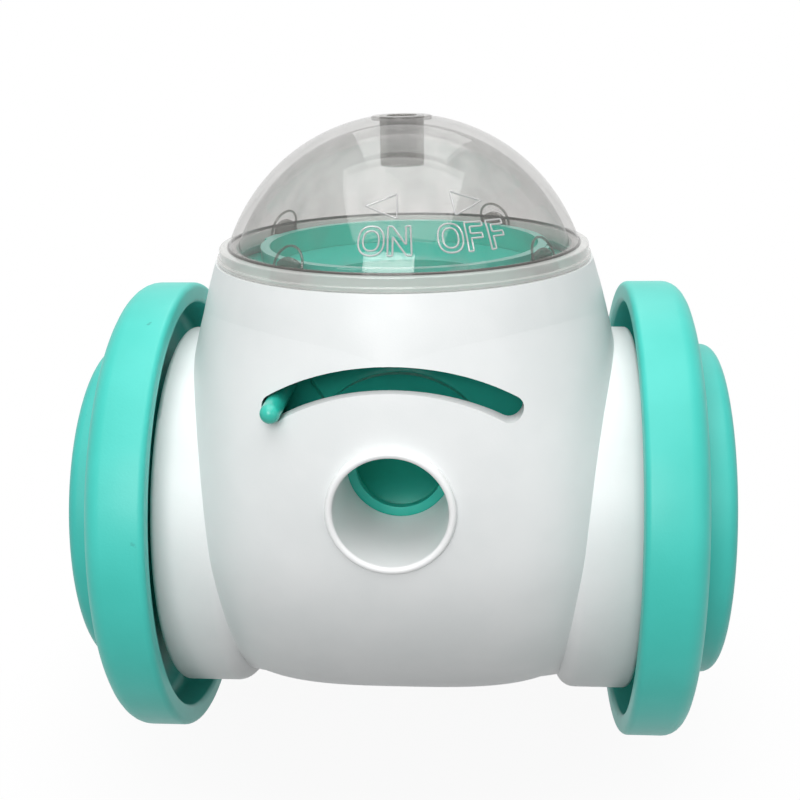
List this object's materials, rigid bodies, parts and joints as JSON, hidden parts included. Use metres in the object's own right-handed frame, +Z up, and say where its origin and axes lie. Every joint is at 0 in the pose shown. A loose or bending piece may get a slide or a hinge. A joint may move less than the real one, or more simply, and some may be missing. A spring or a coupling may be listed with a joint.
{
  "type": "treat dispensing toy",
  "caption": "Wheeled treat dispensing pet toy: egg-shaped body hung on an axle between cup wheels, clear turn-lock dome over a hopper, lever gate and round outlet",
  "frame": {"origin": "on the floor, under the middle of the axle", "axes": "+Z up, the outlet and the lever face -Y, the axle runs along X"},
  "size_m": [0.1402, 0.105, 0.1422],
  "materials": {
    "white_body": "white moulded plastic with a fine satin texture",
    "white_inner": "plain white moulded plastic",
    "teal_wheel": "teal moulded plastic, half gloss with a fine pebble",
    "teal_cap": "teal moulded plastic, half gloss",
    "teal_gate": "teal moulded plastic, gloss",
    "teal_hopper": "teal moulded plastic, gloss",
    "smoked_clear": "clear smoke-tinted moulded plastic",
    "smoked_socket": "smoke-tinted moulded plastic",
    "steel": "bright zinc-plated steel"
  },
  "bodies": {
    "body": {"front_shell": "white_body", "rear_shell": "white_body", "shell_screws": "steel", "outlet_chute": "white_body", "gate_washer": "steel", "gate_pivot_screw": "steel", "hopper": "teal_hopper", "axle": "steel", "left_bush": "white_inner", "right_bush": "white_inner", "left_washer": "steel", "right_washer": "steel", "left_push_nut": "steel", "right_push_nut": "steel", "balance_weight": "steel", "weight_clamp": "white_inner", "clamp_screws": "steel", "lock_ring": "teal_hopper", "feed_duct": "teal_hopper", "lock_lugs": "teal_hopper"},
    "gate": {"gate_plate": "teal_gate"},
    "socket": {"teaser_socket": "smoked_socket"},
    "lid": {"dome_lid": "smoked_clear", "lid_band": "smoked_clear"},
    "wheel_left": {"left_wheel": "teal_wheel", "left_hub_cap": "teal_cap"},
    "wheel_right": {"right_wheel": "teal_wheel", "right_hub_cap": "teal_cap"}
  },
  "joints": [
    {"name": "left_wheel_spin", "type": "hinge", "parent": "body", "child": "wheel_left", "pos_m": [-0.055, 0, 0.0525], "axis": [1, 0, 0], "continuous": true},
    {"name": "right_wheel_spin", "type": "hinge", "parent": "body", "child": "wheel_right", "pos_m": [0.055, 0, 0.0525], "axis": [1, 0, 0], "continuous": true},
    {"name": "gate_turn", "type": "hinge", "parent": "body", "child": "gate", "pos_m": [0, -0.023, 0.0525], "axis": [0, 1, 0], "range_deg": [0, 64]},
    {"name": "lid_lift", "type": "slide", "parent": "body", "child": "socket", "axis": [0, 0, 1], "range_m": [0, 0.06]},
    {"name": "lid_turn", "type": "hinge", "parent": "socket", "child": "lid", "pos_m": [0, 0, 0.12], "axis": [0, 0, 1], "range_deg": [0, 20]}
  ]
}
